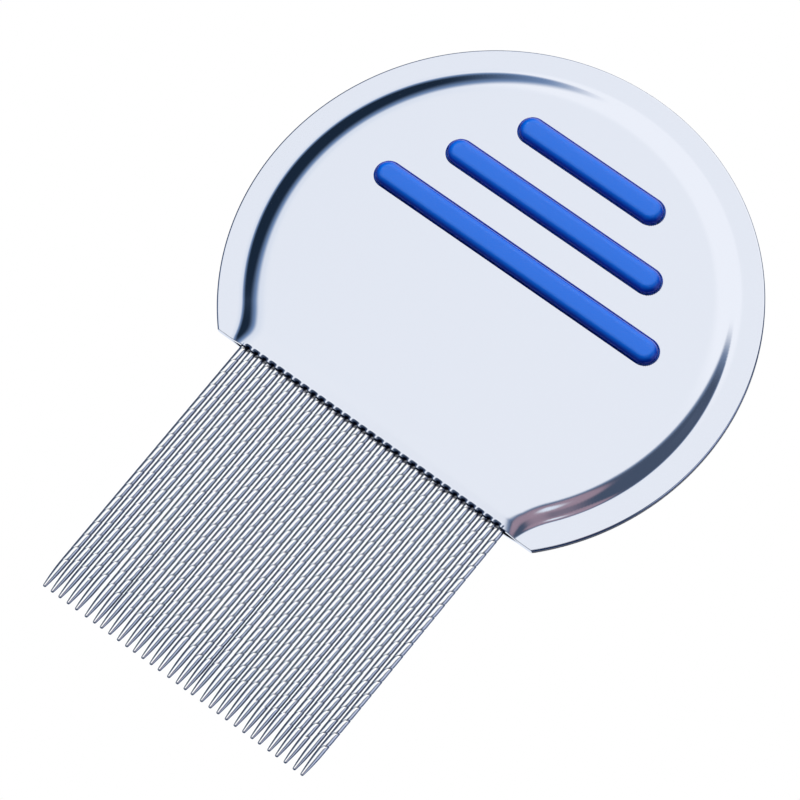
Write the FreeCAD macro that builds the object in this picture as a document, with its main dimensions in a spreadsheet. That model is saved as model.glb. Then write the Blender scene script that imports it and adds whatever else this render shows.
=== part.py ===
import FreeCAD, Part
import math
import os

import Sketcher

# A steel flea comb. Two pressed shells, joined at a flat rim, hold a moulded grip insert and a row
# of round wire teeth. The origin is the middle of the whole comb, on the plane where the shells
# meet. +X runs along the row of teeth, +Y from the teeth to the top of the handle, and +Z out of
# the front face. Lengths are in millimetres.

SIZES = {
    "rim_radius": 33.85,
    "rim_foot_radius": 30.8,  # where the flat rim ends and the slope begins
    "plateau_radius": 28.5,
    "plateau_height": 1.8,  # above the joint plane, as all heights here
    "sheet": 0.5,
    "edge_distance": 23.45,  # from the handle's centre to its straight, toothed edge
    "throat_foot": 21.8,  # half width of the throat on the rim, at the straight edge
    "throat_shoulder": 20.8,  # half width of its flat top, at the straight edge
    "throat_length": 12.5,
    "ramp_length": 2.5,  # over which the top falls to the lip
    "lip_height": 1.05,
    "lip_depth": 1.2,
    "groove_depth": 0.5,
    "groove_length": 0.6,
    "tongue_half_width": 0.06,
    "seat_clearance": 0.01,
    "tooth_count": 32,
    "tooth_pitch": 1.29,
    "row_offset": -0.3,  # the middle of the row of teeth, along X
    "wire_radius": 0.525,
    "tooth_reach": 39.05,
    "tooth_root": 7.0,
    "taper_length": 4.0,
    "tip_radius": 0.2,
    "slot_width": 3.6,
    "slot_pitch": 7.7,
    "slot_offset": 5.2,  # from the handle's centre to the first slot
    "slot_length": 43.4,
    "slot_step": 10.7,  # each slot is this much shorter than the one below
    "rib_clearance": 0.12,
    "rib_height": 2.7,
    "rib_rounding": 0.9,
    "foot_margin": 1.2,  # how far a rib's foot reaches under the sheet
    "foot_clearance": 0.02,
    "core_radius": 28.5,
    "core_drop": 14.5,  # from the handle's centre to the core's straight edge
    "core_half_thickness": 0.75,
}
SLOT_COUNT = 3
OVERRUN = 1.2  # a cut runs on past its far end by this factor
CENTRE_Y = "(Sizes.edge_distance + Sizes.tooth_reach - Sizes.rim_radius) / 2"
THROAT_TOP = (
    "Sizes.throat_foot - (Sizes.plateau_height - Sizes.sheet)"
    " * (Sizes.throat_foot - Sizes.throat_shoulder) / (Sizes.lip_height - Sizes.sheet)"
)
ORIGIN_POINT = (-1, 1)  # a sketch's own origin, as its constraints name it


def write_sizes(doc):
    """The sheet of driving dimensions, one named cell for each."""
    sheet = doc.addObject("Spreadsheet::Sheet", "Sizes")
    for row, (name, value) in enumerate(SIZES.items(), start=1):
        sheet.set(f"A{row}", name)
        sheet.set(f"B{row}", str(value))
        sheet.setAlias(f"B{row}", name)
    doc.recompute()


def new_sketch(body, name, plane, offset=None):
    """A sketch on one of the body's own origin planes, moved along its normal by a formula."""
    sketch = body.newObject("Sketcher::SketchObject", name)
    support = next(f for f in body.Origin.OriginFeatures if f.Role == plane)
    sketch.AttachmentSupport = [(support, "")]
    sketch.MapMode = "FlatFace"
    if offset:
        sketch.setExpression("AttachmentOffset.Base.z", offset)
    return sketch


def bind(sketch, kind, *where, formula):
    """A dimension of a sketch, driven by a formula on the sheet."""
    value = float(sketch.evalExpression(formula))
    index = sketch.addConstraint(Sketcher.Constraint(kind, *where, value))
    sketch.setExpression(f"Constraints[{index}]", formula)


def place_point(sketch, edge, end, x, y):
    """Hold one end of an edge at a place given by two formulas."""
    for kind, formula in (("DistanceX", x), ("DistanceY", y)):
        bind(sketch, kind, *ORIGIN_POINT, edge, end, formula=formula)


def outline(sketch, corners):
    """A closed outline of straight sides. Each corner is a pair of formulas."""
    points = [
        FreeCAD.Vector(float(sketch.evalExpression(x)), float(sketch.evalExpression(y)), 0)
        for x, y in corners
    ]
    first = sketch.GeometryCount
    count = len(points)
    for i, point in enumerate(points):
        sketch.addGeometry(Part.LineSegment(point, points[(i + 1) % count]))
    for i, (x, y) in enumerate(corners):
        sketch.addConstraint(
            Sketcher.Constraint("Coincident", first + i, 2, first + (i + 1) % count, 1)
        )
        place_point(sketch, first + i, 1, x, y)


def stadium(sketch, y, length, width):
    """A slot outline with round ends, centred on x = 0 at height y."""
    half_reach = f"({length} - {width}) / 2"
    half_width = f"{width} / 2"
    height, reach, radius = (
        float(sketch.evalExpression(formula)) for formula in (y, half_reach, half_width)
    )
    first = sketch.GeometryCount
    right, left = first, first + 1
    for x, start in ((reach, -math.pi / 2), (-reach, math.pi / 2)):
        circle = Part.Circle(FreeCAD.Vector(x, height, 0), FreeCAD.Vector(0, 0, 1), radius)
        sketch.addGeometry(Part.ArcOfCircle(circle, start, start + math.pi))
    for y_side in (-radius, radius):
        sketch.addGeometry(
            Part.LineSegment(
                FreeCAD.Vector(-reach, height + y_side, 0), FreeCAD.Vector(reach, height + y_side, 0)
            )
        )
    bottom, top = first + 2, first + 3
    for line, line_end, arc, arc_end in (
        (bottom, 2, right, 1),
        (top, 2, right, 2),
        (top, 1, left, 1),
        (bottom, 1, left, 2),
    ):
        sketch.addConstraint(Sketcher.Constraint("Tangent", line, line_end, arc, arc_end))
    bind(sketch, "Radius", right, formula=half_width)
    place_point(sketch, right, 3, half_reach, y)
    place_point(sketch, left, 3, f"-{half_reach}", y)


def slot_rows(sketch, margin):
    """The outlines of the slots, each grown on every side by a margin."""
    for i in range(SLOT_COUNT):
        stadium(
            sketch,
            f"Sizes.slot_offset + {i} * Sizes.slot_pitch",
            f"(Sizes.slot_length - {i} * Sizes.slot_step + 2 * ({margin}))",
            f"(Sizes.slot_width + 2 * ({margin}))",
        )


def add_feature(body, kind, name, sketch, length, reversed_=False, both_ways=False):
    """A pad or pocket of a sketch, as long as a formula says."""
    feature = body.newObject(kind, name)
    feature.Profile = sketch
    feature.Reversed = reversed_
    if both_ways:
        feature.SideType = "Symmetric"
    feature.setExpression("Length", length)
    sketch.Document.recompute()
    return feature


def revolve(body, name, sketch):
    """A full turn of a sketch about its own vertical axis."""
    feature = body.newObject("PartDesign::Revolution", name)
    feature.Profile = sketch
    feature.ReferenceAxis = (sketch, ["V_Axis"])
    feature.Angle = 360
    return feature


def repeat_along_row(body, name, feature, sketch, count):
    """Copies of a cut at the tooth pitch, along the straight edge."""
    pattern = body.newObject("PartDesign::LinearPattern", name)
    pattern.Originals = [feature]
    pattern.Direction = (sketch, ["H_Axis"])
    pattern.setExpression("Length", f"Sizes.tooth_pitch * ({count} - 1)")
    pattern.setExpression("Occurrences", count)
    body.Tip = pattern
    body.Document.recompute()


def pressed_form(doc, name, profile, throat, drop, edge):
    """The form that a shell's sheet follows: dish, throat, sloping roof and straight edge.

    The outside of the sheet has drop 0, and the hollow under it is the same form, lower by one
    thickness of sheet.
    """
    body = doc.addObject("PartDesign::Body", name)
    dish = new_sketch(body, name + "_profile", "XZ_Plane")
    outline(dish, profile)
    revolve(body, name + "_dish", dish)

    throat_sketch = new_sketch(body, name + "_throat_profile", "XZ_Plane", edge)
    outline(throat_sketch, throat)
    add_feature(
        body,
        "PartDesign::Pad",
        name + "_throat",
        throat_sketch,
        "Sizes.throat_length",
        reversed_=True,
    )

    roof = new_sketch(body, name + "_roof_profile", "YZ_Plane")
    outline(
        roof,
        (
            ("-Sizes.edge_distance", f"Sizes.lip_height - {drop}"),
            ("Sizes.ramp_length - Sizes.edge_distance", f"Sizes.plateau_height - {drop}"),
            ("Sizes.ramp_length - Sizes.edge_distance", "2 * Sizes.plateau_height"),
            ("-Sizes.edge_distance", "2 * Sizes.plateau_height"),
        ),
    )
    add_feature(
        body, "PartDesign::Pocket", name + "_roof", roof, "2 * Sizes.rim_radius", both_ways=True
    )

    below = new_sketch(body, name + "_edge_profile", "XY_Plane")
    outline(
        below,
        (
            ("-Sizes.rim_radius - 1", f"-({edge})"),
            ("Sizes.rim_radius + 1", f"-({edge})"),
            ("Sizes.rim_radius + 1", "-Sizes.rim_radius - 1"),
            ("-Sizes.rim_radius - 1", "-Sizes.rim_radius - 1"),
        ),
    )
    add_feature(
        body,
        "PartDesign::Pocket",
        name + "_edge",
        below,
        "4 * Sizes.plateau_height",
        both_ways=True,
    )
    return body


def cut_lip(body, name, side):
    """Grooves between the teeth and a half-round seat for each tooth, along the straight edge.

    side is -1 for the shell that is turned over, where the row's offset runs the other way.
    """
    row_middle = f"{side} * Sizes.row_offset"
    first_tooth = f"({row_middle} - Sizes.tooth_pitch * (Sizes.tooth_count - 1) / 2)"
    first_gap = f"({first_tooth} + Sizes.tooth_pitch / 2)"
    half_mouth = "(Sizes.tooth_pitch / 2 - Sizes.tongue_half_width)"

    groove = new_sketch(body, name + "_groove_profile", "XZ_Plane", "Sizes.edge_distance")
    outline(
        groove,
        (
            (first_gap, "Sizes.lip_height - Sizes.groove_depth"),
            (f"{first_gap} + {half_mouth}", "Sizes.lip_height"),
            (f"{first_gap} - {half_mouth}", "Sizes.lip_height"),
        ),
    )
    cut = add_feature(
        body, "PartDesign::Pocket", name + "_groove", groove, f"{OVERRUN} * Sizes.groove_length"
    )
    cut.UseCustomVector = True
    cut.Direction = FreeCAD.Vector(0, 1, 0)
    cut.setExpression("Direction.z", "Sizes.groove_depth / Sizes.groove_length")
    body.Document.recompute()
    repeat_along_row(body, name + "_grooves", cut, groove, "Sizes.tooth_count - 1")

    seat = new_sketch(body, name + "_seat_profile", "XZ_Plane", "Sizes.edge_distance")
    radius = SIZES["wire_radius"] + SIZES["seat_clearance"]
    centre = FreeCAD.Vector(float(seat.evalExpression(first_tooth)), 0, 0)
    circle = seat.addGeometry(Part.Circle(centre, FreeCAD.Vector(0, 0, 1), radius))
    bind(seat, "Radius", circle, formula="Sizes.wire_radius + Sizes.seat_clearance")
    bind(seat, "DistanceX", *ORIGIN_POINT, circle, 3, formula=first_tooth)
    seat.addConstraint(Sketcher.Constraint("PointOnObject", circle, 3, -1))
    cut = add_feature(
        body, "PartDesign::Pocket", name + "_seat", seat, f"{OVERRUN} * Sizes.lip_depth"
    )
    repeat_along_row(body, name + "_seats", cut, seat, "Sizes.tooth_count")


def make_shell(doc, name, turned):
    """One pressed shell. The back shell is the front one turned over about the Y axis."""
    outside = pressed_form(
        doc,
        name + "_outside",
        profile=(
            ("0", "0"),
            ("Sizes.rim_radius", "0"),
            ("Sizes.rim_radius", "Sizes.sheet"),
            ("Sizes.rim_foot_radius", "Sizes.sheet"),
            ("Sizes.plateau_radius", "Sizes.plateau_height"),
            ("0", "Sizes.plateau_height"),
        ),
        throat=(
            ("-Sizes.throat_foot", "0"),
            ("Sizes.throat_foot", "0"),
            ("Sizes.throat_foot", "Sizes.sheet"),
            (THROAT_TOP, "Sizes.plateau_height"),
            (f"-({THROAT_TOP})", "Sizes.plateau_height"),
            ("-Sizes.throat_foot", "Sizes.sheet"),
        ),
        drop="0",
        edge="Sizes.edge_distance",
    )
    cut_lip(outside, name, -1 if turned else 1)
    slots = new_sketch(outside, name + "_slot_profiles", "XY_Plane")
    slot_rows(slots, "0")
    add_feature(
        outside,
        "PartDesign::Pocket",
        name + "_slots",
        slots,
        "2 * Sizes.plateau_height",
        reversed_=True,
    )
    hollow = pressed_form(
        doc,
        name + "_hollow",
        profile=(
            ("0", "0"),
            ("Sizes.rim_foot_radius", "0"),
            ("Sizes.plateau_radius", "Sizes.plateau_height - Sizes.sheet"),
            ("0", "Sizes.plateau_height - Sizes.sheet"),
        ),
        throat=(
            ("-Sizes.throat_foot", "0"),
            ("Sizes.throat_foot", "0"),
            (THROAT_TOP, "Sizes.plateau_height - Sizes.sheet"),
            (f"-({THROAT_TOP})", "Sizes.plateau_height - Sizes.sheet"),
        ),
        drop="Sizes.sheet",
        edge="Sizes.edge_distance - Sizes.lip_depth",
    )
    shell = doc.addObject("Part::Cut", name)
    shell.Base = outside
    shell.Tool = hollow
    if turned:
        shell.Placement.Rotation = FreeCAD.Rotation(FreeCAD.Vector(0, 1, 0), 180)
    shell.setExpression("Placement.Base.y", CENTRE_Y)
    return shell


def make_insert(doc):
    """The moulded core: a plate between the shells, with ribs that stand out of both faces."""
    body = doc.addObject("PartDesign::Body", "grip_insert")
    plate = new_sketch(body, "core_profile", "XY_Plane")
    radius, drop = SIZES["core_radius"], SIZES["core_drop"]
    half_edge = math.sqrt(radius**2 - drop**2)
    start = -math.asin(drop / radius)
    circle = Part.Circle(FreeCAD.Vector(0, 0, 0), FreeCAD.Vector(0, 0, 1), radius)
    arc = plate.addGeometry(Part.ArcOfCircle(circle, start, math.pi - start))
    edge = plate.addGeometry(
        Part.LineSegment(FreeCAD.Vector(-half_edge, -drop, 0), FreeCAD.Vector(half_edge, -drop, 0))
    )
    plate.addConstraint(Sketcher.Constraint("Coincident", arc, 3, *ORIGIN_POINT))
    plate.addConstraint(Sketcher.Constraint("Coincident", edge, 1, arc, 2))
    plate.addConstraint(Sketcher.Constraint("Coincident", edge, 2, arc, 1))
    plate.addConstraint(Sketcher.Constraint("Horizontal", edge))
    bind(plate, "Radius", arc, formula="Sizes.core_radius")
    bind(plate, "DistanceY", *ORIGIN_POINT, edge, 1, formula="-Sizes.core_drop")
    add_feature(
        body, "PartDesign::Pad", "core", plate, "2 * Sizes.core_half_thickness", both_ways=True
    )

    feet = new_sketch(body, "foot_profiles", "XY_Plane")
    slot_rows(feet, "Sizes.foot_margin")
    add_feature(
        body,
        "PartDesign::Pad",
        "feet",
        feet,
        "2 * (Sizes.plateau_height - Sizes.sheet - Sizes.foot_clearance)",
        both_ways=True,
    )

    ribs = new_sketch(body, "rib_profiles", "XY_Plane")
    slot_rows(ribs, "-Sizes.rib_clearance")
    pad = add_feature(
        body, "PartDesign::Pad", "ribs", ribs, "2 * Sizes.rib_height", both_ways=True
    )
    rounding = body.newObject("PartDesign::Fillet", "rib_rounding")
    rounding.Base = (pad, edges_at_height(pad.Shape, SIZES["rib_height"]))
    rounding.setExpression("Radius", "Sizes.rib_rounding")
    body.Tip = rounding
    body.setExpression("Placement.Base.y", CENTRE_Y)
    return body


def edges_at_height(shape, height):
    """The names of the edges that lie on the planes z = height and z = -height."""
    names = []
    for number, edge in enumerate(shape.Edges, start=1):
        box = edge.BoundBox
        if box.ZLength < 1e-6 and abs(abs(box.ZMin) - height) < 1e-6:
            names.append(f"Edge{number}")
    return names


def make_tooth(doc, number):
    """One round wire. Its tip narrows along an arc that leaves the wire smoothly."""
    name = f"tooth_{number:02d}"
    body = doc.addObject("PartDesign::Body", name)
    sketch = new_sketch(body, name + "_profile", "XY_Plane")
    wire, tip = SIZES["wire_radius"], SIZES["tip_radius"]
    root, end = SIZES["tooth_root"], -SIZES["tooth_reach"]
    shoulder = end + SIZES["taper_length"]
    inset = wire - tip
    arc_radius = (SIZES["taper_length"] ** 2 + inset**2) / (2 * inset)
    corners = [
        FreeCAD.Vector(wire, shoulder, 0),
        FreeCAD.Vector(wire, root, 0),
        FreeCAD.Vector(0, root, 0),
        FreeCAD.Vector(0, end, 0),
        FreeCAD.Vector(tip, end, 0),
    ]
    for a, b in zip(corners, corners[1:]):
        sketch.addGeometry(Part.LineSegment(a, b))
    circle = Part.Circle(
        FreeCAD.Vector(wire - arc_radius, shoulder, 0), FreeCAD.Vector(0, 0, 1), arc_radius
    )
    turn = math.asin(SIZES["taper_length"] / arc_radius)
    side, top, axis, bottom = range(4)
    taper = sketch.addGeometry(Part.ArcOfCircle(circle, -turn, 0))
    for a, b in ((side, top), (top, axis), (axis, bottom)):
        sketch.addConstraint(Sketcher.Constraint("Coincident", a, 2, b, 1))
    sketch.addConstraint(Sketcher.Constraint("Coincident", bottom, 2, taper, 1))
    sketch.addConstraint(Sketcher.Constraint("Tangent", side, 1, taper, 2))
    sketch.addConstraint(Sketcher.Constraint("Vertical", side))
    sketch.addConstraint(Sketcher.Constraint("Horizontal", top))
    sketch.addConstraint(Sketcher.Constraint("Horizontal", bottom))
    sketch.addConstraint(Sketcher.Constraint("PointOnObject", axis, 1, -2))
    sketch.addConstraint(Sketcher.Constraint("PointOnObject", axis, 2, -2))
    place_point(sketch, top, 1, "Sizes.wire_radius", "Sizes.tooth_root")
    bind(
        sketch,
        "DistanceY",
        *ORIGIN_POINT,
        side,
        1,
        formula="Sizes.taper_length - Sizes.tooth_reach",
    )
    place_point(sketch, bottom, 2, "Sizes.tip_radius", "-Sizes.tooth_reach")
    revolve(body, name + "_wire", sketch)
    body.setExpression(
        "Placement.Base.x",
        f"Sizes.row_offset + Sizes.tooth_pitch * ({number} - (Sizes.tooth_count + 1) / 2)",
    )
    body.setExpression("Placement.Base.y", f"{CENTRE_Y} - Sizes.edge_distance")
    return body


def check(doc, parts):
    """Stop if any feature failed or any part isn't one valid solid."""
    broken = [o.Name for o in doc.Objects if {"Invalid", "Error"} & set(o.State)]
    if broken:
        raise SystemExit(f"failed features: {broken}")
    for part in parts:
        shape = part.Shape
        if shape.isNull() or not shape.isValid() or len(shape.Solids) != 1:
            raise SystemExit(f"{part.Label} is not one valid solid")


def main():
    doc = FreeCAD.newDocument("FleaComb")
    write_sizes(doc)
    parts = [make_shell(doc, "front_shell", False), make_shell(doc, "back_shell", True)]
    parts.append(make_insert(doc))
    parts += [make_tooth(doc, number) for number in range(1, SIZES["tooth_count"] + 1)]
    doc.recompute()
    check(doc, parts)
    os.makedirs("parts", exist_ok=True)
    for part in parts:
        part.Shape.exportStep(f"parts/{part.Label}.step")
        box = part.Shape.BoundBox
        print(f"{part.Label}: {part.Shape.Volume:.1f} mm3, z {box.ZMin:.2f} to {box.ZMax:.2f}")


main()
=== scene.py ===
import math
import random

import bmesh
import bpy
import numpy as np
from mathutils import Matrix, Vector
from mathutils.geometry import delaunay_2d_cdt


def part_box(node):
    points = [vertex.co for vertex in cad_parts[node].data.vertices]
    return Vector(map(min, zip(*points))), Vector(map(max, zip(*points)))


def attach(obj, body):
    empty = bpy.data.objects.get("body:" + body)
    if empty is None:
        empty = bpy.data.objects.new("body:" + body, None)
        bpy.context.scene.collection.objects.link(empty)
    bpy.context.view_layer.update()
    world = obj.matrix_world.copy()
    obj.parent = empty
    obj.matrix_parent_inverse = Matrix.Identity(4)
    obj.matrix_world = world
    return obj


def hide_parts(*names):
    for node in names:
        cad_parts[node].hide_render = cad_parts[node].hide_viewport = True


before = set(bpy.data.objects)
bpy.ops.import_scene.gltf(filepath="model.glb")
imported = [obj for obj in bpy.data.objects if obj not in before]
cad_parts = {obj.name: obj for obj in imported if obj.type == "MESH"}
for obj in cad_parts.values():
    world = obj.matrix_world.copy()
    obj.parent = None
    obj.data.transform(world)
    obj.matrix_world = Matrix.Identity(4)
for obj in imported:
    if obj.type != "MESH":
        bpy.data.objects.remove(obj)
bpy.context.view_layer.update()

# Lengths in this script are millimetres, in the frame's own axes: +X along the teeth, +Y from the
# teeth to the top of the handle, +Z out of the front. Blender's metres come in at the end.
MM = 0.001


def box_mm(node):
    lo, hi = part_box(node)
    return np.array(lo) / MM, np.array(hi) / MM


# ---------------------------------------------------------------- sizes, worked out from the frame
shell_lo, shell_hi = box_mm("front_shell")
insert_lo, insert_hi = box_mm("grip_insert")
TEETH = sorted(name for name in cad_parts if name.startswith("tooth_"))
tooth_boxes = {name: box_mm(name) for name in TEETH}

RIM_RADIUS = (shell_hi[0] - shell_lo[0]) / 2
CENTRE_Y = shell_hi[1] - RIM_RADIUS
EDGE_Y = shell_lo[1]
PLATEAU_HEIGHT = shell_hi[2]
RIB_HEIGHT = insert_hi[2]
TOOTH_X = np.array([(lo[0] + hi[0]) / 2 for lo, hi in tooth_boxes.values()])
TOOTH_PITCH = (TOOTH_X[-1] - TOOTH_X[0]) / (len(TEETH) - 1)
WIRE_RADIUS = (tooth_boxes[TEETH[0]][1][0] - tooth_boxes[TEETH[0]][0][0]) / 2

SHEET = 0.5
FOOT_RADIUS = 30.7  # the rim is flat outside this radius
SLOPE = 0.56  # rise of the handle's side, per unit of run
THROAT_FOOT = 21.8  # half width of the throat at the straight edge
SHOULDER = 0.60  # height over which the side rounds into the top
FOOT_BLEND = 0.26  # height over which the rim rounds into the side
THROAT_BLEND = 2.6  # run over which the dish's foot and the throat's foot join
RAMP_LENGTH = 2.5  # over which the top falls to the lip
ROOF_BLEND = 0.25  # height over which the ramp rounds into the top
LIP_HEIGHT = 1.05
LIP_DEPTH = 1.2  # how far the seats of the teeth reach in
ROW_FADE = (0.1, 0.35)  # outside the end teeth's axes, where the lip's creases and seats end
CREASE_DEPTH = 0.6  # of the corrugation in the lip, between two teeth
CREASE_START, CREASE_END = 0.1, 0.44  # distances from the edge where it begins and ends to fade
CREASE_POWER = 1.3  # above 1 narrows the creases
CREASE_SHADE = 0.28  # share of the full depth from which a crease is painted near black as shade
SCALLOP = 0.12  # how far the lip's edge draws back between two teeth
LIP_ROUNDING = 0.06
SEAT_RADIUS = WIRE_RADIUS + 0.01
DOME_DROP = 0.12  # how much lower the plateau is at its edge than in its middle
RIM_ROUNDING = 0.25
EDGE_ROUNDING = 0.06  # along the straight edge, beside the teeth
ARC_STEPS = 420
RIM_ROWS = (0.012, 0.04, 0.08, 0.13, 0.19, 0.255)  # rows of points in from each kind of edge
LIP_ROWS = (0.02, 0.05, 0.08, 0.11, 0.17)
EAR_ROWS = (0.02, 0.045, 0.07)
SLOT_ROWS = (0.05, 0.1, 0.16, 0.32)
SLOT_GAP = 0.45  # round a slot, where its own rows stand in for the rings
LIP_POINTS = 16  # along the lip, for each tooth
EAR_POINTS = 34
EAR_STEP = 0.16  # between the grid's points beside the lip, where the ears are
EAR_EDGE = 25.4  # half width of that grid
THROAT_INNER, THROAT_OUTER = 17.4, 21.2  # half widths between which the throat's side is gridded
THROAT_ROWS = (2.6, 6.6)  # distances from the straight edge, for the same grid
RAMP_ROWS = (1.5, 4.0, 0.15)  # distances from the straight edge where the ramp is gridded, and step
RINGS = (  # radii from and to, and step, of the rings of points that fill the rest
    (33.2, 31.3, -0.3),
    (31.2, 26.6, -0.14),
    (26.4, 24.0, -0.4),
    (23.4, 1.0, -1.1),
)
SLOT_ROUNDING = 0.16
SLOT_WIDTH = 3.6
SLOTS = [(5.2 + 7.7 * i, 43.4 - 10.7 * i) for i in range(3)]  # height above the centre, length
RIB_CLEARANCE = 0.12
RIB_ROUNDING = 0.95
RIB_CROWN = 0.05
CORE_RADIUS = 28.5
CORE_DROP = 14.5
CORE_HALF_THICKNESS = 0.75
FOOT_MARGIN = 1.2
FOOT_HEIGHT = PLATEAU_HEIGHT - SHEET - 0.02
CORE_ARC_STEPS, CORE_CHORD_STEPS = 160, 40
INSERT_WALL = 0.02  # run of the steep sides of the feet and the ribs
RIB_ROWS = (0.0, 0.01, 0.03, 0.07, 0.12, 0.18, 0.26, 0.35, 0.45, 0.56, 0.68, 0.8)
RIB_TOP_ROWS = (0.88, 0.96, 1.15, 1.4)


# ---------------------------------------------------------------- small helpers
def smooth_min(a, b, k):
    """The lower of two heights, with their meeting rounded over k."""
    h = np.clip(0.5 + 0.5 * (b - a) / k, 0, 1)
    return b + (a - b) * h - k * h * (1 - h)


def smooth_max(a, b, k):
    """The higher of two heights, in the same way."""
    return -smooth_min(-a, -b, k)


def smooth_step(low, high, x):
    t = np.clip((x - low) / (high - low), 0, 1)
    return t * t * (3 - 2 * t)


def rounded_edge(distance, radius):
    """How far a rounded edge falls below its face, at a distance in from the edge."""
    inside = np.clip(distance / radius, 0, 1)
    return radius * (1 - np.sqrt(1 - (1 - inside) ** 2))


def stadium_distance(x, y, middle_y, length, width):
    """Distance outside a slot outline. It is negative inside."""
    along = np.maximum(np.abs(x) - (length - width) / 2, 0)
    return np.hypot(along, y - middle_y) - width / 2


def slot_distance(x, y, grow=0.0):
    """Distance outside the nearest slot. x and y are from the handle's centre."""
    return np.min(
        [
            stadium_distance(x, y, middle, length + 2 * grow, SLOT_WIDTH + 2 * grow)
            for middle, length in SLOTS
        ],
        axis=0,
    )


# ---------------------------------------------------------------- the shell's two surfaces
def smooth_form(x, y):
    """Height of the pressed sheet's outside, before its edges and lip. From the handle's centre."""
    radius = np.hypot(x, y)
    from_edge = y + (CENTRE_Y - EDGE_Y)
    in_dish = FOOT_RADIUS - radius
    in_throat = np.where(y < 0, THROAT_FOOT - np.abs(x), -RIM_RADIUS)
    inward = smooth_max(in_dish, in_throat, THROAT_BLEND)
    side = smooth_max(SLOPE * inward, 0 * inward, FOOT_BLEND)
    dome = PLATEAU_HEIGHT - DOME_DROP * (radius / FOOT_RADIUS) ** 2
    ramp = LIP_HEIGHT + (PLATEAU_HEIGHT - LIP_HEIGHT) * from_edge / RAMP_LENGTH
    roof = smooth_min(dome, ramp, ROOF_BLEND)
    return SHEET + smooth_min(side, roof - SHEET, SHOULDER)


def over_tooth(x):
    """1 over the middle of each tooth, 0 midway between two, and 0 beyond the row."""
    turns = (x - TOOTH_X[0]) / TOOTH_PITCH
    wave = 0.5 + 0.5 * np.cos(2 * math.pi * turns)
    return np.where((turns > -0.5) & (turns < len(TEETH) - 0.5), wave, 0.0)


def in_row(x):
    """1 along the row of teeth, falling to 0 at its two ends."""
    middle = (TOOTH_X[0] + TOOTH_X[-1]) / 2
    half = (TOOTH_X[-1] - TOOTH_X[0]) / 2
    fade_start, fade_end = ROW_FADE
    return 1 - smooth_step(half + fade_start, half + fade_end, np.abs(x - middle))


def edge_line(x):
    """Where the straight edge of the sheet runs, from the handle's centre."""
    return EDGE_Y - CENTRE_Y + SCALLOP * (1 - over_tooth(x)) * in_row(x)


def crease(x, y):
    """How far the lip is pressed down between two teeth: 1 at the edge, 0 away from it."""
    from_edge = y + (CENTRE_Y - EDGE_Y)
    press = 1 - smooth_step(CREASE_START, CREASE_END, from_edge)
    turns = (x - TOOTH_X[0]) / TOOTH_PITCH
    between = (1 - np.abs(np.cos(math.pi * turns))) ** CREASE_POWER
    return press * between * in_row(x)


def outer_height(x, y):
    """The outside of a shell."""
    form = smooth_form(x, y) - CREASE_DEPTH * crease(x, y)
    form = form - rounded_edge(RIM_RADIUS - np.hypot(x, y), RIM_ROUNDING)
    rounding = EDGE_ROUNDING + (LIP_ROUNDING - EDGE_ROUNDING) * in_row(x)
    form = form - rounded_edge(y - edge_line(x), rounding)
    return form - rounded_edge(slot_distance(x, y), SLOT_ROUNDING)


def inner_height(x, y):
    """The hidden side of a shell, with a half-round seat for each tooth."""
    from_edge = y + (CENTRE_Y - EDGE_Y)
    under = np.maximum(smooth_form(x, y) - SHEET, 0)
    turns = (x - TOOTH_X[0]) / TOOTH_PITCH
    off_axis = (turns - np.round(turns)) * TOOTH_PITCH
    seat = np.sqrt(np.maximum(SEAT_RADIUS**2 - off_axis**2, 0))
    in_lip = (from_edge < LIP_DEPTH) & (in_row(x) > 0)
    return np.where(in_lip, seat, under)


# ---------------------------------------------------------------- flat point sets and their mesh
def ring(radius, spacing):
    """Points round a circle, evenly spaced."""
    count = max(8, int(round(2 * math.pi * radius / spacing)))
    a = np.arange(count) * 2 * math.pi / count
    return np.column_stack((radius * np.cos(a), radius * np.sin(a)))


def stadium_loop(middle_y, length, width, spacing=0.3):
    """Points around a slot outline, counterclockwise."""
    radius, reach = width / 2, (length - width) / 2
    turns = max(12, int(math.pi * radius / min(spacing, 0.25)))
    steps = max(4, int(2 * reach / (2 * spacing)))
    a = np.linspace(-math.pi / 2, math.pi / 2, turns + 1)
    right = np.column_stack((reach + radius * np.cos(a), middle_y + radius * np.sin(a)))
    line = np.linspace(reach, -reach, steps + 1)[1:-1]
    top = np.column_stack((line, np.full_like(line, middle_y + radius)))
    left = np.column_stack((-reach - radius * np.cos(a), middle_y - radius * np.sin(a)))
    bottom = np.column_stack((-line, np.full_like(line, middle_y - radius)))
    return np.vstack((right, top, left, bottom))


def grid(x_values, y_values):
    gx, gy = np.meshgrid(x_values, y_values)
    return np.column_stack((gx.ravel(), gy.ravel()))


def triangulate(points, loops):
    """Delaunay triangles of all the points, with the loops kept as edges."""
    offset = len(points)
    edges = []
    for loop in loops:
        edges += [(offset + i, offset + (i + 1) % len(loop)) for i in range(len(loop))]
        offset += len(loop)
    everything = np.vstack([points, *loops])
    verts, _, faces, _, _, _ = delaunay_2d_cdt(
        [Vector(p) for p in everything], edges, [], 0, 1e-5
    )
    xy = np.array([tuple(v) for v in verts])
    return xy, np.array([f for f in faces if len(f) == 3])


def boundary_edges(tris):
    """Directed edges that only one triangle has."""
    directed = np.vstack((tris[:, [0, 1]], tris[:, [1, 2]], tris[:, [2, 0]]))
    keys = {tuple(e) for e in directed}
    return np.array([e for e in directed if (e[1], e[0]) not in keys])


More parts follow.
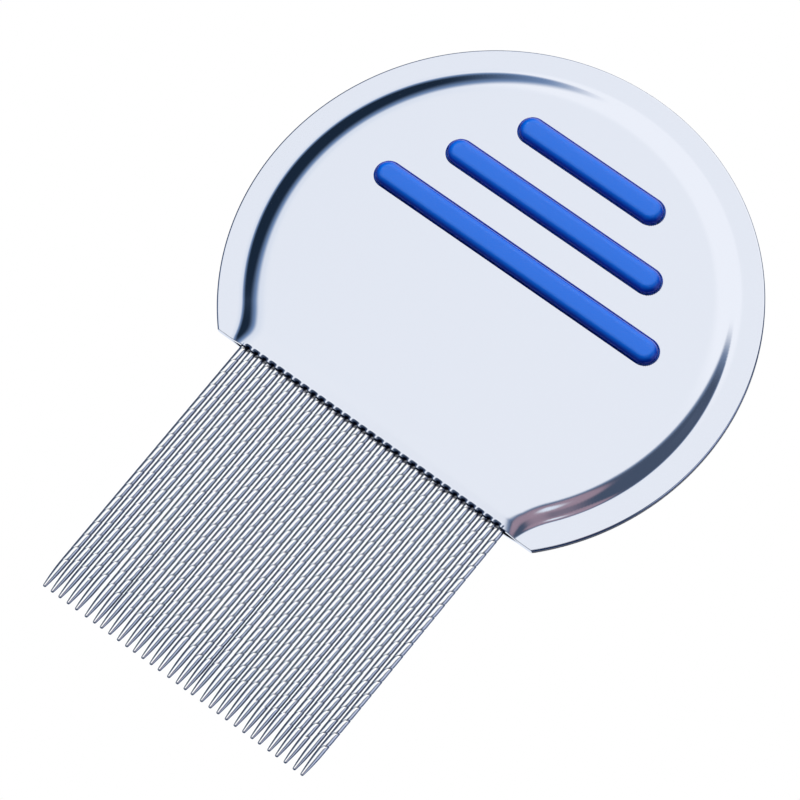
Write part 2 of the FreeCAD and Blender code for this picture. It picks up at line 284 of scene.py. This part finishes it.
def gradient_normals(height, xy, step=0.01):
    """Unit normals of a height field, from central differences."""
    dx = (height(xy[:, 0] + step, xy[:, 1]) - height(xy[:, 0] - step, xy[:, 1])) / (2 * step)
    dy = (height(xy[:, 0], xy[:, 1] + step) - height(xy[:, 0], xy[:, 1] - step)) / (2 * step)
    n = np.column_stack((-dx, -dy, np.ones_like(dx)))
    return n / np.linalg.norm(n, axis=1)[:, None]


def sheet_mesh(name, xy, tris, top, bottom, slots=None):
    """A closed solid between two height functions, with upright walls round every edge.

    slots are three functions of x and y that give the material slot of the faces of the top, of
    the bottom and of the walls.
    """
    count = len(xy)
    upper = np.column_stack((xy, top(xy[:, 0], xy[:, 1])))
    lower = np.column_stack((xy, bottom(xy[:, 0], xy[:, 1])))
    walls = boundary_edges(tris)
    wall_faces = np.column_stack(
        (walls[:, 1], walls[:, 0], walls[:, 0] + count, walls[:, 1] + count)
    )
    verts = np.vstack((upper, lower))
    verts[:, 1] += CENTRE_Y
    faces = [list(map(int, t)) for t in tris]
    faces += [[int(c) + count, int(b) + count, int(a) + count] for a, b, c in tris]
    faces += [list(map(int, w)) for w in wall_faces]
    mesh = bpy.data.meshes.new(name)
    mesh.from_pydata((verts * MM).tolist(), [], faces)
    mesh.polygons.foreach_set("use_smooth", [True] * len(faces))
    if slots:
        middles = [xy[corners].mean(axis=1).T for corners in (tris, tris, walls)]
        index = np.concatenate([slot(*middle) for slot, middle in zip(slots, middles)])
        mesh.polygons.foreach_set("material_index", index.tolist())
    top_normals = gradient_normals(top, xy)
    bottom_normals = -gradient_normals(bottom, xy)
    a, b = upper[walls[:, 0]], upper[walls[:, 1]]
    out = np.column_stack((b[:, 1] - a[:, 1], a[:, 0] - b[:, 0], np.zeros(len(a))))
    out /= np.linalg.norm(out, axis=1)[:, None]
    loops = np.vstack(
        (
            top_normals[tris.ravel()],
            bottom_normals[tris[:, ::-1].ravel()],
            np.repeat(out, 4, axis=0),
        )
    )
    mesh.normals_split_custom_set(loops.tolist())
    mesh.update()
    return mesh


# ---------------------------------------------------------------- shells
def shell_plan():
    """Points and triangles of a shell seen from the front, about the handle's centre."""
    edge = EDGE_Y - CENTRE_Y
    corner = math.sqrt(RIM_RADIUS**2 - edge**2)
    start = math.atan2(edge, corner)
    a = np.linspace(start, math.pi - start, ARC_STEPS + 1)
    arc = np.column_stack((RIM_RADIUS * np.cos(a), RIM_RADIUS * np.sin(a)))
    lip_step = TOOTH_PITCH / LIP_POINTS
    lip_left, lip_right = TOOTH_X[0] - TOOTH_PITCH / 2, TOOTH_X[-1] + TOOTH_PITCH / 2
    lip_x = np.linspace(lip_left, lip_right, len(TEETH) * LIP_POINTS + 1)
    left_ear_x = np.linspace(-corner, lip_left, EAR_POINTS)[1:-1]
    right_ear_x = np.linspace(lip_right, corner, EAR_POINTS)[1:-1]
    chord_x = np.concatenate((left_ear_x, lip_x, right_ear_x))
    chord = np.column_stack((chord_x, edge_line(chord_x)))
    outline = np.vstack((arc, chord))

    slot_loops = [stadium_loop(middle, length, SLOT_WIDTH) for middle, length in SLOTS]
    sets = []
    for grow in SLOT_ROWS:
        for middle, length in SLOTS:
            sets.append(stadium_loop(middle, length + 2 * grow, SLOT_WIDTH + 2 * grow))
    for depth in RIM_ROWS:
        row = arc * (RIM_RADIUS - depth) / RIM_RADIUS
        sets.append(row[row[:, 1] > edge + 0.08])
    for depth in LIP_ROWS:
        sets.append(np.column_stack((lip_x, edge_line(lip_x) + depth)))
    for depth in EAR_ROWS:
        for ear_x in (left_ear_x, right_ear_x):
            row = np.column_stack((ear_x, np.full_like(ear_x, edge + depth)))
            sets.append(row[np.hypot(*row.T) < RIM_RADIUS - 0.05])

    lip = grid(lip_x, edge + np.arange(3, 18) * lip_step)
    lip = lip[lip[:, 1] > edge_line(lip[:, 0]) + LIP_ROWS[-1] + 0.04]
    ramp = grid(lip_x[::4], edge + np.arange(*RAMP_ROWS))
    inside_throat = np.abs(ramp[:, 0]) < THROAT_INNER - 0.1
    ramp = ramp[inside_throat | (ramp[:, 1] < edge + 2.5)]
    left_columns = np.arange(-EAR_EDGE, lip_left, EAR_STEP)
    right_columns = np.arange(lip_right + EAR_STEP, EAR_EDGE, EAR_STEP)
    ear_columns = np.concatenate((left_columns, right_columns))
    ears = grid(ear_columns, edge + np.arange(1, 42) * EAR_STEP)
    throat_x = np.arange(THROAT_INNER, THROAT_OUTER, EAR_STEP)
    throat_x = np.concatenate((-throat_x[::-1], throat_x))
    throat_x = throat_x[(throat_x > lip_left) & (throat_x < lip_right)]
    throat = grid(throat_x, np.arange(edge + THROAT_ROWS[0], edge + THROAT_ROWS[1], EAR_STEP))
    ears = np.vstack((ears, throat))
    ears = ears[np.hypot(*ears.T) < RIM_RADIUS - RIM_ROWS[-1] - 0.1]
    radii = np.concatenate([np.arange(*span) for span in RINGS])
    rings = np.vstack([ring(r, 0.45 if r > 24 else 1.1) for r in radii])
    in_ear = np.abs(rings[:, 0]) > THROAT_INNER - 0.1
    in_ear &= rings[:, 1] < edge + THROAT_ROWS[1] + 0.1
    near_edge = rings[:, 1] < edge + RAMP_ROWS[1] + 0.1
    rings = rings[(slot_distance(*rings.T) > SLOT_GAP) & ~(in_ear | near_edge)]
    sets += [lip, ramp, ears, rings]
    xy, tris = triangulate(np.vstack(sets), [outline, *slot_loops])
    middle = xy[tris].mean(axis=1)
    above = middle[:, 1] > np.interp(middle[:, 0], chord_x, chord[:, 1])
    return xy, tris[(slot_distance(*middle.T) > 0) & above]


def make_object(name, mesh, materials):
    obj = bpy.data.objects.new(name, mesh)
    bpy.context.scene.collection.objects.link(obj)
    for material in materials:
        mesh.materials.append(material)
    return obj


def shaded_cut_wall(x, y):
    """1 where a wall is raw cut metal, painted near black as shade, 0 where it is polished: beside
    the teeth.
    """
    beside = (y < EDGE_Y - CENTRE_Y + 0.05) & (in_row(x) == 0)
    return np.where(beside, 0, 1)


def crease_painted_shade(x, y):
    """1 in the creases between the teeth, which are painted near black as shade, 0 on the polished
    outside.
    """
    return np.where(crease(x, y) > CREASE_SHADE, 1, 0)


def inside_unpolished_shaded(x, y):
    """1 everywhere: a shell's inside is never polished, and it takes the near-black steel whose
    colour is painted shade.
    """
    return np.ones(len(x), dtype=int)


def make_shells(steel, shaded_cut_steel):
    xy, tris = shell_plan()
    front = sheet_mesh(
        "front_shell_steel",
        xy,
        tris,
        outer_height,
        inner_height,
        (crease_painted_shade, inside_unpolished_shaded, shaded_cut_wall),
    )
    back = sheet_mesh(
        "back_shell_steel",
        xy,
        tris,
        lambda x, y: -inner_height(x, y),
        lambda x, y: -outer_height(x, y),
        (inside_unpolished_shaded, crease_painted_shade, shaded_cut_wall),
    )
    for mesh, node in ((front, "front_shell"), (back, "back_shell")):
        obj = make_object(mesh.name, mesh, [steel, shaded_cut_steel])
        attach(obj, "root")
        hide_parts(node)


# ---------------------------------------------------------------- insert
def insert_height(x, y):
    """Half the insert's thickness: core, feet under the sheet and ribs through the slots."""
    rib = -slot_distance(x, y, -RIB_CLEARANCE)
    foot = -slot_distance(x, y, FOOT_MARGIN)
    height = np.full_like(x, CORE_HALF_THICKNESS)
    height = np.where(foot >= 0, FOOT_HEIGHT, height)
    across = np.clip(rib / (SLOT_WIDTH / 2), 0, 1)
    crown = RIB_HEIGHT - RIB_CROWN * (1 - across) ** 2
    top = crown - rounded_edge(rib, RIB_ROUNDING)
    return np.where(rib >= 0, top, height)


def insert_plan():
    """Points and triangles of the insert seen from the front, about the handle's centre."""
    half_edge = math.sqrt(CORE_RADIUS**2 - CORE_DROP**2)
    start = math.atan2(-CORE_DROP, half_edge)
    a = np.linspace(start, math.pi - start, CORE_ARC_STEPS + 1)
    arc = np.column_stack((CORE_RADIUS * np.cos(a), CORE_RADIUS * np.sin(a)))
    line = np.linspace(-half_edge, half_edge, CORE_CHORD_STEPS + 1)[1:-1]
    chord = np.column_stack((line, np.full_like(line, -CORE_DROP)))
    sets = []
    for middle, length in SLOTS:
        for grow in (FOOT_MARGIN, FOOT_MARGIN + INSERT_WALL):
            sets.append(stadium_loop(middle, length + 2 * grow, SLOT_WIDTH + 2 * grow, 0.5))
        for depth in (-INSERT_WALL, *RIB_ROWS, *RIB_TOP_ROWS):
            grow = -RIB_CLEARANCE - depth
            sets.append(stadium_loop(middle, length + 2 * grow, SLOT_WIDTH + 2 * grow, 0.3))
        reach = (length - SLOT_WIDTH) / 2
        spine = np.arange(-reach, reach, 0.6)
        sets.append(np.column_stack((spine, np.full_like(spine, middle))))
    rings = np.vstack([ring(r, 1.6) for r in np.arange(27, 1, -1.6)])
    rings = rings[(slot_distance(*rings.T) > FOOT_MARGIN + 0.4) & (rings[:, 1] > -CORE_DROP + 0.5)]
    sets.append(rings)
    xy, tris = triangulate(np.vstack(sets), [np.vstack((arc, chord))])
    middle = xy[tris].mean(axis=1)
    return xy, tris[(np.hypot(*middle.T) < CORE_RADIUS) & (middle[:, 1] > -CORE_DROP)]


def make_insert(plastic):
    xy, tris = insert_plan()
    mesh = sheet_mesh(
        "grip_insert_plastic", xy, tris, insert_height, lambda x, y: -insert_height(x, y)
    )
    obj = make_object(mesh.name, mesh, [plastic])
    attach(obj, "root")
    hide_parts("grip_insert")


# ---------------------------------------------------------------- teeth
TOOTH_SIDES = 28
GROOVE_PITCH = 2.05
GROOVE_WIDTH = 0.34
GROOVE_CUT = 0.055
DEPTH_SPREAD = (0.7, 1.3)  # a tooth's groove is this much shallower or deeper
TAPER = 4.0
TIP_RADIUS = 0.2
TAPER_ROWS = (0.06, 0.12, 0.2, 0.3, 0.4, 0.5, 0.6, 0.7, 0.8, 0.88, 0.94)  # shares of the taper
TIP_ANGLES = (0.35, 0.7, 1.05, 1.35)  # radians round the tip's cap
CAP_POWER = 0.8  # below 1 makes the cap blunter than a round one
LEAN = 0.14  # the most that a tooth's tip stands to one side
LEAN_POWER = 1.5
SEED = 7
GROOVE_ROWS = (-0.5, -0.36, -0.2, 0.0, 0.2, 0.36, 0.5)  # across the groove, in groove widths
PLAIN_ROWS = 2


def tooth_mesh(name, lo, hi, rng):
    """A wire with a fine helical groove. The mesh rows follow the helix."""
    axis_x = (lo[0] + hi[0]) / 2
    tip, root = lo[1], hi[1]
    groove = np.array(GROOVE_ROWS) * GROOVE_WIDTH
    plain = np.linspace(groove[-1], GROOVE_PITCH + groove[0], PLAIN_ROWS + 2)[1:-1]
    cycle = np.concatenate((groove, plain))
    depth = GROOVE_CUT * np.cos(np.clip(groove / GROOVE_WIDTH, -0.5, 0.5) * math.pi) ** 2
    cycle_depth = np.concatenate((depth * rng.uniform(*DEPTH_SPREAD), np.zeros(PLAIN_ROWS)))
    taper_y = tip + TAPER
    start = taper_y + rng.uniform(-0.2, GROOVE_PITCH - 0.2)
    turns = int((root - start) / GROOVE_PITCH) + 2
    rows_per_turn = len(cycle)
    rows = np.concatenate([start + k * GROOVE_PITCH + cycle for k in range(-2, turns)])
    depths = np.tile(cycle_depth, turns + 2)
    angle = np.arange(TOOTH_SIDES) * 2 * math.pi / TOOTH_SIDES
    lead = angle / (2 * math.pi) * GROOVE_PITCH
    verts, faces, index = [], [], {}

    def vertex(i, j):
        """The vertex of column i on row j, with rows running on round the wire."""
        if i == TOOTH_SIDES:
            i, j = 0, j + rows_per_turn
        if j >= len(rows):
            return None
        if (i, j) not in index:
            y = rows[j] + lead[i]
            clamped = min(max(y, taper_y), root)
            r = WIRE_RADIUS - (depths[j] if clamped == y else 0)
            index[i, j] = len(verts)
            verts.append((r * math.sin(angle[i]), clamped, r * math.cos(angle[i])))
        return index[i, j]

    for j in range(len(rows) - 1):
        for i in range(TOOTH_SIDES):
            quad = (vertex(i, j), vertex(i + 1, j), vertex(i + 1, j + 1), vertex(i, j + 1))
            if None not in quad:
                ys = [verts[v][1] for v in quad]
                if max(ys) - min(ys) > 1e-6:
                    faces.append(quad)
    bm = bmesh.new()
    made = [bm.verts.new(v) for v in verts]
    for quad in faces:
        bm.faces.new([made[v] for v in quad])
    bmesh.ops.remove_doubles(bm, verts=bm.verts, dist=1e-5)
    bmesh.ops.dissolve_degenerate(bm, edges=bm.edges, dist=1e-5)
    loose = [v for v in bm.verts if not v.link_faces]
    bmesh.ops.delete(bm, geom=loose, context="VERTS")

    inset = WIRE_RADIUS - TIP_RADIUS
    arc_radius = (TAPER**2 + inset**2) / (2 * inset)
    open_edges = [e for e in bm.edges if e.is_boundary]
    end = [e for e in open_edges if all(abs(v.co.y - taper_y) < 1e-6 for v in e.verts)]
    profile = []
    for share in TAPER_ROWS:
        along = share * TAPER
        sagitta = arc_radius - math.sqrt(arc_radius**2 - along**2)
        profile.append((taper_y - along, WIRE_RADIUS - sagitta))
    last_r = profile[-1][1]
    cap_length = TAPER * (1 - TAPER_ROWS[-1])
    for a in TIP_ANGLES:
        cap_radius = last_r * math.cos(a) ** CAP_POWER
        profile.append((tip + cap_length * (1 - math.sin(a)), cap_radius))
    for y, r in profile:
        made = bmesh.ops.extrude_edge_only(bm, edges=end)["geom"]
        end = [g for g in made if isinstance(g, bmesh.types.BMEdge) and g.is_boundary]
        moved = {v for e in end for v in e.verts}
        for v in moved:
            scale = r / math.hypot(v.co.x, v.co.z)
            v.co = Vector((v.co.x * scale, y, v.co.z * scale))
    bmesh.ops.contextual_create(bm, geom=end)
    far = [e for e in bm.edges if e.is_boundary]
    bmesh.ops.contextual_create(bm, geom=far)
    bmesh.ops.recalc_face_normals(bm, faces=bm.faces)
    lean = rng.uniform(-LEAN, LEAN)
    for v in bm.verts:
        out = max(0.0, (EDGE_Y - v.co.y) / (EDGE_Y - tip))
        v.co.x += axis_x + lean * out**LEAN_POWER
        v.co *= MM
    mesh = bpy.data.meshes.new(name)
    bm.to_mesh(mesh)
    bm.free()
    mesh.polygons.foreach_set("use_smooth", [True] * len(mesh.polygons))
    return mesh


def make_teeth(wire_steel):
    rng = random.Random(SEED)
    for node in TEETH:
        lo, hi = tooth_boxes[node]
        mesh = tooth_mesh(node + "_wire", lo, hi, rng)
        obj = make_object(mesh.name, mesh, [wire_steel])
        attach(obj, "root")
        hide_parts(node)


# ---------------------------------------------------------------- materials
def new_material(name):
    material = bpy.data.materials.new(name)
    material.use_nodes = True
    tree = material.node_tree
    return material, tree, tree.nodes["Principled BSDF"]


def noise(tree, scale, detail=3.0, stretch=(1, 1, 1)):
    """Noise in object space, with a stretch along each axis."""
    coords = tree.nodes.new("ShaderNodeTexCoord")
    mapping = tree.nodes.new("ShaderNodeMapping")
    mapping.inputs["Scale"].default_value = stretch
    texture = tree.nodes.new("ShaderNodeTexNoise")
    texture.inputs["Scale"].default_value = scale
    texture.inputs["Detail"].default_value = detail
    tree.links.new(coords.outputs["Object"], mapping.inputs["Vector"])
    tree.links.new(mapping.outputs["Vector"], texture.inputs["Vector"])
    return texture.outputs["Fac"]


def remap(tree, value, low, high, out_low, out_high):
    """The value carried from one range into another, and held at its ends."""
    node = tree.nodes.new("ShaderNodeMapRange")
    for name, number in (
        ("From Min", low),
        ("From Max", high),
        ("To Min", out_low),
        ("To Max", out_high),
    ):
        node.inputs[name].default_value = number
    tree.links.new(value, node.inputs["Value"])
    return node.outputs["Result"]


def mix_colours(tree, factor, a, b):
    """Colour a where the factor is 0 and b where it is 1. Each is a colour or a socket."""
    node = tree.nodes.new("ShaderNodeMix")
    node.data_type = "RGBA"
    for name, colour in (("A", a), ("B", b)):
        if isinstance(colour, tuple):
            node.inputs[name].default_value = colour
        else:
            tree.links.new(colour, node.inputs[name])
    tree.links.new(factor, node.inputs["Factor"])
    return node.outputs["Result"]


def bump(tree, shader, height, strength, distance):
    node = tree.nodes.new("ShaderNodeBump")
    node.inputs["Strength"].default_value = strength
    node.inputs["Distance"].default_value = distance
    tree.links.new(height, node.inputs["Height"])
    tree.links.new(node.outputs["Normal"], shader.inputs["Normal"])


def polished_steel():
    material, tree, shader = new_material("polished_steel")
    shader.inputs["Base Color"].default_value = (0.77, 0.81, 0.90, 1)
    shader.inputs["Metallic"].default_value = 1
    scratches = noise(tree, 900, 2, (1.0, 0.06, 1.0))
    smudges = noise(tree, 60, 4)
    roughness = remap(tree, smudges, 0.3, 0.7, 0.06, 0.10)
    tree.links.new(roughness, shader.inputs["Roughness"])
    bump(tree, shader, scratches, 0.04, 0.00001)
    return material


# Rough cut metal. Its near-black colour is painted shade: it darkens the cut faces, the creases
# between the teeth and the shells' insides.
def shaded_cut_steel():
    material, tree, shader = new_material("cut_metal_with_painted_shade")
    shader.inputs["Base Color"].default_value = (0.018, 0.024, 0.045, 1)
    shader.inputs["Metallic"].default_value = 1
    grain = noise(tree, 2500, 3, (1, 1, 0.2))
    tree.links.new(remap(tree, grain, 0.3, 0.7, 0.25, 0.40), shader.inputs["Roughness"])
    return material


def wire_steel():
    material, tree, shader = new_material("wire_steel")
    # Painted shade: seen in another wire's reflection, a wire is dark navy, standing for the shade
    # between neighbouring teeth; seen straight on, it is bright steel.
    bright, painted_shade_in_next_wire = (1.0, 1.0, 1.0, 1), (0.05, 0.08, 0.18, 1)
    seen = tree.nodes.new("ShaderNodeLightPath")
    tone = mix_colours(tree, seen.outputs["Is Glossy Ray"], bright, painted_shade_in_next_wire)
    tree.links.new(tone, shader.inputs["Base Color"])
    shader.inputs["Metallic"].default_value = 0.94
    drawn = noise(tree, 1500, 3, (1.0, 0.03, 1.0))
    tree.links.new(remap(tree, drawn, 0.3, 0.7, 0.06, 0.12), shader.inputs["Roughness"])
    bump(tree, shader, drawn, 0.08, 0.00002)
    return material


def blue_plastic():
    material, tree, shader = new_material("blue_plastic")
    # Painted shade: the tilted flanks of the ribs are a deeper navy than their tops, standing for
    # the shade on the sides turned away from the light.
    painted_shade_flank, top = (0.0, 0.050, 0.62, 1), (0.002, 0.195, 0.95, 1)
    facing = tree.nodes.new("ShaderNodeNewGeometry")
    split = tree.nodes.new("ShaderNodeSeparateXYZ")
    upright = tree.nodes.new("ShaderNodeMath")
    upright.operation = "ABSOLUTE"
    tree.links.new(facing.outputs["Normal"], split.inputs[0])
    tree.links.new(split.outputs["Z"], upright.inputs[0])
    level = remap(tree, upright.outputs["Value"], 0.55, 0.96, 0.0, 1.0)
    tree.links.new(mix_colours(tree, level, painted_shade_flank, top), shader.inputs["Base Color"])
    grain = noise(tree, 1200, 3)
    cloud = noise(tree, 120, 3)
    tree.links.new(remap(tree, cloud, 0.3, 0.7, 0.16, 0.24), shader.inputs["Roughness"])
    shader.inputs["IOR"].default_value = 1.5
    bump(tree, shader, grain, 0.05, 0.00003)
    return material


# ---------------------------------------------------------------- light, floor and camera
WHITE = (1.0, 1.0, 1.0, 1)
NAVY = (0.012, 0.024, 0.044, 1)
DIM = (0.03, 0.05, 0.10, 1)
DIM_SIDE = ((0.60, -0.75, 0.05), 0.60, -0.15)  # the side from which matt surfaces get little light
LEFT = (-0.945, 0.10, -0.30)
SLATE = (0.50, -0.60, -0.62)  # the slate cards reach past a right angle from here
BELOW = (0.0, 0.0, -1.0)
CARDS = (  # direction, colour, cosines where a card is full and gone; each covers those above
    (LEFT, (0.86, 0.89, 0.93, 1), 0.45, -0.05),
    ((0.10, 0.93, 0.30), (1.08, 1.07, 1.06, 1), 0.80, 0.55),
    (LEFT, (0.20, 0.30, 0.48, 1), 0.55, 0.37),
    (LEFT, NAVY, 0.73, 0.50),
    ((0.00, -0.98, 0.20), NAVY, 0.86, 0.70),
    (SLATE, (0.20, 0.27, 0.40, 1), -0.44, -0.52),
    (SLATE, (0.070, 0.095, 0.145, 1), -0.37, -0.47),
    ((0.925, 0.267, 0.27), (0.46, 0.52, 0.70, 1), 0.96, 0.88),  # lavender, at the right
    ((0.42, -0.20, 0.88), (0.38, 0.27, 0.32, 1), 0.990, 0.975),  # a pink patch
    ((0.38, -0.27, 0.885), (0.90, 0.95, 1.0, 1), 0.9975, 0.9935),  # a white one inside it
    ((0.70, -0.70, 0.08), NAVY, 0.90, 0.82),
    (BELOW, (0.016, 0.042, 0.13, 1), 0.25, 0.10),
    (BELOW, (0.90, 0.93, 0.98, 1), 0.90, 0.72),
)


FLOOR_REACH, FLOOR_DROP = 3.0, 0.06  # metres
KEY_ENERGY, KEY_ANGLE = 1.12, 30
KEY_FROM = (-0.40, 0.50, 0.77)


def towards(tree, coords, direction, full, gone):
    """A mask that is 1 round a direction and falls to 0 away from it."""
    dot = tree.nodes.new("ShaderNodeVectorMath")
    dot.operation = "DOT_PRODUCT"
    dot.inputs[1].default_value = Vector(direction).normalized()
    tree.links.new(coords.outputs["Generated"], dot.inputs[0])
    mask = tree.nodes.new("ShaderNodeMapRange")
    mask.interpolation_type = "SMOOTHSTEP"
    mask.inputs["From Min"].default_value = gone
    mask.inputs["From Max"].default_value = full
    tree.links.new(dot.outputs["Value"], mask.inputs["Value"])
    return mask.outputs["Result"]


def make_world():
    """The cards round the comb. The camera itself sees plain white."""
    world = bpy.data.worlds.new("studio")
    world.use_nodes = True
    bpy.context.scene.world = world
    tree = world.node_tree
    coords = tree.nodes.new("ShaderNodeTexCoord")
    seen = tree.nodes.new("ShaderNodeLightPath")
    colour = WHITE
    for direction, tint, full, gone in CARDS:
        colour = mix_colours(tree, towards(tree, coords, direction, full, gone), colour, tint)
    dimmed = tree.nodes.new("ShaderNodeMath")
    dimmed.operation = "MULTIPLY"
    tree.links.new(towards(tree, coords, *DIM_SIDE), dimmed.inputs[0])
    tree.links.new(seen.outputs["Is Diffuse Ray"], dimmed.inputs[1])
    colour = mix_colours(tree, dimmed.outputs["Value"], colour, DIM)
    colour = mix_colours(tree, seen.outputs["Is Camera Ray"], colour, WHITE)
    tree.links.new(colour, tree.nodes["Background"].inputs["Color"])


def make_floor():
    """A pale floor below the comb. From underneath it is clear, so that it never hides the comb."""
    mesh = bpy.data.meshes.new("floor")
    turns = ((-1, -1), (1, -1), (1, 1), (-1, 1))
    corners = [(i * FLOOR_REACH, j * FLOOR_REACH, -FLOOR_DROP) for i, j in turns]
    mesh.from_pydata(corners, [], [(0, 1, 2, 3)])
    floor = bpy.data.objects.new("floor", mesh)
    bpy.context.scene.collection.objects.link(floor)
    floor.visible_glossy = False
    floor.visible_diffuse = False
    material = bpy.data.materials.new("floor")
    material.use_nodes = True
    tree = material.node_tree
    tree.nodes.clear()
    emit = tree.nodes.new("ShaderNodeEmission")
    clear = tree.nodes.new("ShaderNodeBsdfTransparent")
    mix = tree.nodes.new("ShaderNodeMixShader")
    facing = tree.nodes.new("ShaderNodeNewGeometry")
    out = tree.nodes.new("ShaderNodeOutputMaterial")
    tree.links.new(facing.outputs["Backfacing"], mix.inputs["Fac"])
    tree.links.new(emit.outputs[0], mix.inputs[1])
    tree.links.new(clear.outputs[0], mix.inputs[2])
    tree.links.new(mix.outputs[0], out.inputs["Surface"])
    mesh.materials.append(material)


def make_key_light():
    """A soft light from the upper left. It lights the plastic and isn't mirrored in the steel."""
    data = bpy.data.lights.new("key", "SUN")
    data.energy = KEY_ENERGY
    data.angle = math.radians(KEY_ANGLE)
    key = bpy.data.objects.new("key", data)
    key.rotation_euler = Vector(KEY_FROM).to_track_quat("Z", "Y").to_euler()
    key.visible_glossy = False
    bpy.context.scene.collection.objects.link(key)


CAMERA_DISTANCE = 0.6560  # in metres, and so is AIM
CAMERA_AZIMUTH, CAMERA_ELEVATION, CAMERA_ROLL = 45.32, 67.69, -7.90
AIM = (-0.00065, -0.002985, 0.0)
LENS = 240.83


def make_camera():
    """A long lens that looks down on the front, turned a little to one side."""
    data = bpy.data.cameras.new("camera")
    data.lens = LENS
    data.sensor_width = 36
    data.clip_start, data.clip_end = 0.01, 20
    camera = bpy.data.objects.new("camera", data)
    a, e = math.radians(CAMERA_AZIMUTH), math.radians(CAMERA_ELEVATION)
    back = Vector((math.sin(a) * math.cos(e), -math.cos(a) * math.cos(e), math.sin(e)))
    turn = (-back).to_track_quat("-Z", "Y").to_matrix().to_4x4()
    roll = Matrix.Rotation(math.radians(CAMERA_ROLL), 4, "Z")
    camera.matrix_world = Matrix.Translation(Vector(AIM) + back * CAMERA_DISTANCE) @ turn @ roll
    bpy.context.scene.collection.objects.link(camera)
    bpy.context.scene.camera = camera


bpy.context.scene.view_settings.view_transform = "Standard"
make_shells(polished_steel(), shaded_cut_steel())
make_insert(blue_plastic())
make_teeth(wire_steel())
make_world()
make_key_light()
make_floor()
make_camera()
